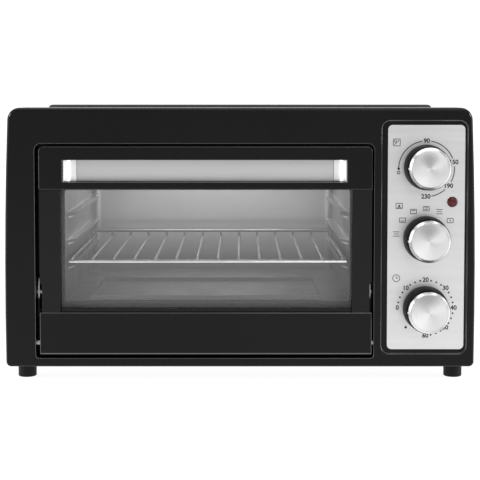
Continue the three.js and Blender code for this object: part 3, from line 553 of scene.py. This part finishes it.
def turned_bmesh(profile, centre, steps=96):
    """Turns (radius, y) points about an axis along Y through the centre's X and Z."""
    bm = bmesh.new()
    rings = []
    for radius, y in profile:
        if radius < 1e-7:
            rings.append([bm.verts.new((centre.x, y, centre.z))])
            continue
        ring = []
        for i in range(steps):
            angle = 2 * math.pi * i / steps
            x, z = centre.x + radius * math.cos(angle), centre.z + radius * math.sin(angle)
            ring.append(bm.verts.new((x, y, z)))
        rings.append(ring)
    join_rings(bm, rings, steps)
    return bm


DOME_HEIGHT = 0.45  # of a wire's end, in wire radii


def add_tube(bm, start, end, radius, steps=14):
    """A straight wire with domed ends, which stand out past its two points."""
    start, end = Vector(start), Vector(end)
    direction = (end - start).normalized()
    turn = Vector((0, 0, 1)).rotation_difference(direction).to_matrix()
    dome = [(0.0, DOME_HEIGHT), (0.55, 0.36), (0.88, 0.16), (1.0, 0.0)]
    stations = [(r * radius, -h * radius) for r, h in dome]
    length = (end - start).length
    stations += [(r * radius, length + h * radius) for r, h in reversed(dome)]
    rings = []
    for r, along in stations:
        if r == 0:
            rings.append([bm.verts.new(start + direction * along)])
            continue
        ring = []
        for i in range(steps):
            angle = 2 * math.pi * i / steps
            offset = turn @ Vector((math.cos(angle) * r, math.sin(angle) * r, 0))
            ring.append(bm.verts.new(start + direction * along + offset))
        rings.append(ring)
    join_rings(bm, rings, steps)


# ---------------------------------------------------------------- shell, door and chamber


def dull_rim(obj, margin):
    """Takes the edge finish, a painted highlight, off the faces within that margin of the outline in X
    and Z.
    """
    corners = [Vector(corner) for corner in obj.bound_box]
    left, right = min(corner.x for corner in corners), max(corner.x for corner in corners)
    low, high = min(corner.z for corner in corners), max(corner.z for corner in corners)
    for face in obj.data.polygons:
        x, z = face.center.x, face.center.z
        if min(x - left, right - x, z - low, high - z) < margin:
            face.material_index = 0


def make_skins():
    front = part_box("front_bezel")[0].y
    # the bezel's rounded front edges take the painted edge highlight
    bezel = skin("front_bezel", 1.2 * MM, 28, 4, edge=BEZEL_EDGE_HIGHLIGHT, deepest=front + 4 * MM)
    dull_rim(bezel, 6 * MM)
    skin("control_panel", 0.3 * MM, 60)
    skin("outer_casing", 0.3 * MM, 60)
    skin("rear_cover", 0.9 * MM, 50, material=GREY_PAINT)
    skin("base_plate", 0.3 * MM, 60)
    skin("door_handle", 1.2 * MM, 40, 3, edge=DOOR_EDGE_HIGHLIGHT)
    skin("door_bottom_rail", 0.8 * MM, 40, 3, edge=DOOR_EDGE_HIGHLIGHT)
    skin("door_stile_left", 0.6 * MM, 40)
    skin("door_stile_right", 0.6 * MM, 40)
    skin("window_bead", 0.6 * MM, 40)
    skin("door_inner_frame", 0.4 * MM, 40)
    skin("door_glass", 0.5 * MM, 40)
    skin("handle_plate", 0.2 * MM, 40, material=WELL_STEEL)
    skin("handle_end_left", 0.2 * MM, 40)
    skin("handle_end_right", 0.2 * MM, 40)
    skin("chassis_front", 0.3 * MM, 50, material=FINISHES["black_paint"])
    skin("cavity_side_left", 0.4 * MM, 25)
    skin("cavity_side_right", 0.4 * MM, 25)
    skin("cavity_back", 0.3 * MM, 50)
    skin("cavity_floor", 0.3 * MM, 50, material=SHADED_TRAY_STEEL)
    skin("crumb_tray", 0.3 * MM, 50, material=SHADED_TRAY_STEEL)
    skin("cord_gland", 0.4 * MM, 40)
    skin("hinge_arm_left", 0.2 * MM, 40, material=ARM_STEEL)
    skin("hinge_arm_right", 0.2 * MM, 40, material=ARM_STEEL)


def make_feet():
    for node in ("foot_front_left", "foot_front_right", "foot_rear_left", "foot_rear_right"):
        skin(node, 0.6 * MM, 28)


def make_rack():
    """Plated wires welded across a loop of thicker rod, and bent up to a stop along the back."""
    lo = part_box("wire_rack")[0]
    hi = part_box("rack_back_rail")[1]
    bar, wire, count = 2.0 * MM, 1.4 * MM, 14
    inset, weld, overhang = 4.3 * MM, 0.3 * MM, 0.4 * MM
    bar_z = lo.z + bar
    wire_z = bar_z + bar + wire - weld
    stop_z = hi.z - bar
    front, back = lo.y + bar, hi.y - bar
    dome = DOME_HEIGHT * bar
    bm = bmesh.new()
    add_tube(bm, (lo.x + dome, front, bar_z), (hi.x - dome, front, bar_z), bar)
    bright = len(bm.faces)
    add_tube(bm, (lo.x + dome, back, stop_z), (hi.x - dome, back, stop_z), bar)
    for x in (lo.x + bar, hi.x - bar):
        add_tube(bm, (x, front, bar_z), (x, back, bar_z), bar)
        add_tube(bm, (x, back, bar_z), (x, back, stop_z), bar)
    pitch = (hi.x - lo.x - 2 * inset) / (count - 1)
    for i in range(count):
        x = lo.x + inset + i * pitch
        add_tube(bm, (x, front - wire + overhang, wire_z), (x, back, wire_z), wire)
        add_tube(bm, (x, back, wire_z), (x, back, stop_z), wire)
    # painted shade: every wire behind the front bar takes the darker copy of the chrome
    for face in list(bm.faces)[bright:]:
        face.material_index = 1
    rack = object_from("rack_wires", bm, FINISHES["chrome_wire"])
    rack.data.materials.append(SHADED_WIRE)
    stand_for(rack, "wire_rack", "rack_back_rail")


def make_lamp():
    lo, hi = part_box("indicator_lens")
    centre = (lo + hi) / 2
    radius = (hi.x - lo.x) / 2
    dome = 1.3 * MM
    profile = [(0, hi.y), (radius, hi.y), (radius, lo.y + dome)]
    steps = 8
    for i in range(1, steps):
        angle = math.pi / 2 * i / steps
        profile.append((radius * math.cos(angle), lo.y + dome * (1 - math.sin(angle))))
    profile.append((0, lo.y))
    bm = turned_bmesh(profile, centre, 48)
    stand_for(object_from("indicator_dome", bm, FINISHES["red_lens"]), "indicator_lens")


# ---------------------------------------------------------------- knobs

SHAFT_BORE = 3.3 * MM
SHAFT_GAP = 0.3 * MM
SKIRT_BAND = 2.0 * MM  # straight part of the skirt, next to the panel
RIM_CHAMFER = 1.9 * MM
SEAT = 1.0 * MM  # the face ends this far in front of the back of the cap
TOOTH = {"inside": 1.0 * MM, "front": 2.4 * MM, "back": 4.6 * MM, "half": 0.9 * MM, "rounding": 0.4 * MM}


def knob_skirt(name, centre):
    """Tapered black skirt with the blind bore for the shaft."""
    lo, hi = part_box(f"{name}_knob")
    cap_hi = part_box(f"{name}_knob_cap")[1]
    bore_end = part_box(f"{name}_shaft")[0].y - SHAFT_GAP
    base = hi.z - centre.z
    top = cap_hi.z - centre.z + 0.2 * MM
    rounding = 0.5 * MM
    profile = [
        (0, bore_end),
        (SHAFT_BORE, bore_end),
        (SHAFT_BORE, hi.y),
        (base - rounding, hi.y),
        (base, hi.y - rounding),
        (base, hi.y - SKIRT_BAND),
        (top + 0.7 * MM, lo.y + 1.0 * MM),
        (top, lo.y),
        (0, lo.y),
    ]
    skirt = object_from(f"{name}_skirt", turned_bmesh(profile, centre), SKIRT, centre)
    stand_for(skirt, f"{name}_knob")


def add_tooth(bm, left, right, front, back, centre_z, half):
    """A small block with rounded edges."""
    middle = Vector(((left + right) / 2, (front + back) / 2, centre_z))
    size = Vector((right - left, back - front, 2 * half))
    place = Matrix.Translation(middle) @ Matrix.Diagonal((*size, 1))
    made = bmesh.ops.create_cube(bm, size=1.0, matrix=place)
    edges = list({edge for vert in made["verts"] for edge in vert.link_edges})
    bmesh.ops.bevel(
        bm,
        geom=edges,
        offset=TOOTH["rounding"],
        segments=3,
        profile=0.5,
        affect="EDGES",
        clamp_overlap=True,
    )


def knob_rim(name, centre):
    """Bright chamfered ring round the face, with the pointer's tooth on its left."""
    lo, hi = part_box(f"{name}_knob_cap")
    radius = hi.z - centre.z
    depth = hi.y - lo.y
    inner = face_radius(radius) + 0.2 * MM
    rounding = 0.3 * MM
    profile = [
        (inner, hi.y - SEAT),
        (radius - rounding, hi.y),
        (radius, hi.y - rounding),
        (radius, lo.y + 0.55 * depth),
        (radius - 0.4 * MM, lo.y + 0.45 * depth),
        (inner, lo.y + 0.2 * MM),
        (inner, hi.y - SEAT),
    ]
    bm = turned_bmesh(profile, centre)
    right = centre.x - radius + TOOTH["inside"]
    add_tooth(bm, lo.x, right, lo.y + TOOTH["front"], lo.y + TOOTH["back"], centre.z, TOOTH["half"])
    rim = object_from(f"{name}_rim", bm, BRIGHT_RIM, centre)
    weigh(rim)
    return rim


def face_radius(cap_radius):
    return cap_radius - 0.4 * MM - RIM_CHAMFER


def knob_face(name, centre):
    """The spun disc inside the rim."""
    lo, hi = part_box(f"{name}_knob_cap")
    face = face_radius(hi.z - centre.z)
    profile = [
        (0, hi.y - SEAT),
        (face, hi.y - SEAT),
        (face, lo.y + 0.1 * MM),
        (face - 0.3 * MM, lo.y),
        (0, lo.y),
    ]
    return object_from(f"{name}_face", turned_bmesh(profile, centre), SPUN, centre)


def make_knobs():
    for name in ("temperature", "function", "timer"):
        lo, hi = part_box(f"{name}_shaft")
        centre = Vector(((lo.x + hi.x) / 2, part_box(f"{name}_knob_cap")[0].y, (lo.z + hi.z) / 2))
        cap = f"{name}_knob_cap"
        knob_skirt(name, centre)
        rim = knob_rim(name, centre)
        stand_for(knob_face(name, centre), cap)
        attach(rim, BODY_OF[cap])


# ---------------------------------------------------------------- printed scales

INK_THICKNESS = 0.06 * MM
NUMBER_HEIGHT = 4.2 * MM
CAPITAL_HEIGHT = 0.7  # of a digit, for a text size of 1
BOLDER = 0.2 * MM
LINE = 0.9 * MM
DOT = 0.9 * MM
BIG_DOT = 1.4 * DOT
DIAL_RADIUS = 27.0 * MM
ICON_RADIUS = 29.2 * MM
PRINT_OFFSET = {"temperature": -1.4 * MM, "function": 0.0, "timer": 0.7 * MM}


class Print:
    """Flat ink marks on the control panel, in X and Z about a centre."""

    def __init__(self, centre_x, centre_z):
        self.x = centre_x
        self.z = centre_z
        self.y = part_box("control_panel")[0].y
        self.bm = bmesh.new()

    def prism(self, outline):
        """Raises a closed outline of (x, z) points by the thickness of the ink."""
        back = [self.bm.verts.new((self.x + x, self.y, self.z + z)) for x, z in outline]
        front = [self.bm.verts.new((self.x + x, self.y - INK_THICKNESS, self.z + z)) for x, z in outline]
        self.bm.faces.new(back)
        self.bm.faces.new(front[::-1])
        count = len(outline)
        for i in range(count):
            j = (i + 1) % count
            self.bm.faces.new((back[i], front[i], front[j], back[j]))

    def dot(self, x, z, radius, steps=14):
        angles = [2 * math.pi * i / steps for i in range(steps)]
        self.prism([(x + radius * math.cos(a), z + radius * math.sin(a)) for a in angles])

    def arc(self, radius, start, end, width=LINE, centre=(0, 0)):
        """A band between two angles, in degrees counter-clockwise from +X."""
        steps = max(3, round(abs(end - start) / 4))
        angles = [math.radians(start + (end - start) * i / steps) for i in range(steps + 1)]
        outer = [(radius + width / 2, angle) for angle in angles]
        inner = [(radius - width / 2, angle) for angle in reversed(angles)]
        x, z = centre
        self.prism([(x + r * math.cos(a), z + r * math.sin(a)) for r, a in outer + inner])

    def line(self, x0, z0, x1, z1, width=LINE * 0.7):
        along = Vector((x1 - x0, z1 - z0)).normalized() * width / 2
        side = Vector((-along.y, along.x))
        ends = [Vector((x0, z0)) - along, Vector((x1, z1)) + along]
        corners = [ends[0] + side, ends[0] - side, ends[1] - side, ends[1] + side]
        self.prism([(corner.x, corner.y) for corner in corners])

    def frame(self, x, z, width, height):
        """The outline of a box, as four lines that meet at the corners."""
        half_w, half_h = width / 2, height / 2
        self.line(x - half_w, z + half_h, x + half_w, z + half_h)
        self.line(x - half_w, z - half_h, x + half_w, z - half_h)
        gap = LINE
        self.line(x - half_w, z - half_h + gap, x - half_w, z + half_h - gap)
        self.line(x + half_w, z - half_h + gap, x + half_w, z + half_h - gap)

    def number(self, text, angle, radius=DIAL_RADIUS):
        """A number on the dial's circle, as a mesh made from the built-in font."""
        curve = bpy.data.curves.new("number", "FONT")
        curve.body = text
        curve.align_x = "CENTER"
        curve.align_y = "CENTER"
        curve.size = NUMBER_HEIGHT / CAPITAL_HEIGHT
        curve.offset = BOLDER
        curve.extrude = INK_THICKNESS / 2
        curve.resolution_u = 4
        holder = bpy.data.objects.new("number", curve)
        bpy.context.scene.collection.objects.link(holder)
        bpy.context.view_layer.update()
        graph = bpy.context.evaluated_depsgraph_get()
        mesh = bpy.data.meshes.new_from_object(holder.evaluated_get(graph))
        turn = math.radians(angle)
        x, z = self.x + radius * math.cos(turn), self.z + radius * math.sin(turn)
        upright = Matrix.Rotation(math.pi / 2, 4, "X")
        mesh.transform(Matrix.Translation((x, self.y - INK_THICKNESS / 2, z)) @ upright)
        self.bm.from_mesh(mesh)
        bpy.data.objects.remove(holder)
        bpy.data.meshes.remove(mesh)
        bpy.data.curves.remove(curve)

    def done(self, name):
        bmesh.ops.remove_doubles(self.bm, verts=self.bm.verts, dist=1e-7)
        obj = object_from(name, self.bm, INK)
        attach(obj, BODY)


def dial_centre(name):
    """Middle of the printed scale, which is a little off the shaft."""
    lo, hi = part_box(f"{name}_shaft")
    return (lo.x + hi.x) / 2, (lo.z + hi.z) / 2 + PRINT_OFFSET[name]


def temperature_scale():
    """Degrees along an arc that is broken, by so many degrees each way, at each number."""
    scale = Print(*dial_centre("temperature"))
    marks = (("90", 90, 9), ("150", 13.5, 8), ("190", -38, 10), ("230", -91, 11))
    start = 180
    scale.dot(-DIAL_RADIUS, 0, BIG_DOT)
    scale.arc(1.3 * MM, 0, 359, LINE * 0.8, (-DIAL_RADIUS, -3.8 * MM))
    for text, angle, room in marks:
        scale.number(text, angle)
        scale.arc(DIAL_RADIUS, start, angle + room)
        start = angle - room
    scale.done("temperature_scale")


def function_icons():
    """Small ovens with a bar above or below for the heat, bare bars, and one with a dot for the fan."""
    scale = Print(*dial_centre("function"))
    bars = {171: "middle", 142: "bottom", 115: "top", 90: "both", 64: "lines", 37: "fan"}
    for angle, kind in bars.items():
        turn = math.radians(angle)
        x, z = ICON_RADIUS * math.cos(turn), ICON_RADIUS * math.sin(turn)
        width, height = 5.8 * MM, 4.2 * MM
        if kind in ("middle", "lines"):
            scale.line(x - width / 2, z + height / 2, x + width / 2, z + height / 2)
            scale.line(x - width / 2, z - height / 2, x + width / 2, z - height / 2)
            scale.line(x - width / 3, z, x + width / 3, z)
        else:
            scale.frame(x, z, width, height)
        if kind in ("top", "both"):
            scale.line(x - width / 4, z + height / 5, x + width / 4, z + height / 5)
        if kind in ("bottom", "both"):
            scale.line(x - width / 4, z - height / 5, x + width / 4, z - height / 5)
        if kind == "fan":
            scale.dot(x, z, 0.7 * MM)
    scale.done("function_icons")


def timer_scale():
    """Minutes with three dots between the numbers, and a bigger dot for staying on."""
    scale = Print(*dial_centre("timer"))
    step = 45
    for i, text in enumerate(("0", "10", "20", "30", "40", "50", "60")):
        angle = 180 - i * step
        scale.number(text, angle, DIAL_RADIUS + 0.4 * MM)
        if text == "60":
            continue
        for k in (1, 2, 3):
            turn = math.radians(angle - k * step / 4)
            scale.dot(DIAL_RADIUS * math.cos(turn), DIAL_RADIUS * math.sin(turn), DOT)
    turn = math.radians(225)
    scale.dot(DIAL_RADIUS * math.cos(turn), DIAL_RADIUS * math.sin(turn), BIG_DOT)
    scale.done("timer_scale")


def sign(dial, across, up):
    """A print so far across and up from the middle of a dial."""
    x, z = dial_centre(dial)
    return Print(x + across, z + up)


def corner_icons():
    """One small sign to the upper left of each dial: heat, function and time."""
    heat = sign("temperature", -29.0 * MM, 25.5 * MM)
    heat.frame(0, 0, 6.6 * MM, 6.6 * MM)
    heat.line(-2 * MM, -2 * MM, 2 * MM, 2 * MM)
    heat.arc(1.1 * MM, 0, 359, LINE * 0.6, (-1.4 * MM, 1.2 * MM))
    heat.done("heat_sign")
    oven = sign("function", -26.2 * MM, 31.8 * MM)
    oven.frame(0, 0, 6.2 * MM, 5.2 * MM)
    oven.dot(0, 0, 1.1 * MM)
    oven.line(-2 * MM, -1.6 * MM, 2 * MM, -1.6 * MM)
    oven.done("function_sign")
    clock = sign("timer", -28.6 * MM, 29.0 * MM)
    clock.arc(3.4 * MM, 0, 359, LINE * 0.7)
    clock.line(0, 0, 0, 1.7 * MM)
    clock.line(0, 0, 1.1 * MM, 0)
    clock.done("clock_sign")


# ---------------------------------------------------------------- the whole scene

make_camera()
make_stage()
make_world()
make_lights()
finish_nodes()
make_skins()
make_feet()
make_rack()
make_lamp()
make_knobs()
temperature_scale()
function_icons()
timer_scale()
corner_icons()


bpy.context.view_layer.update()
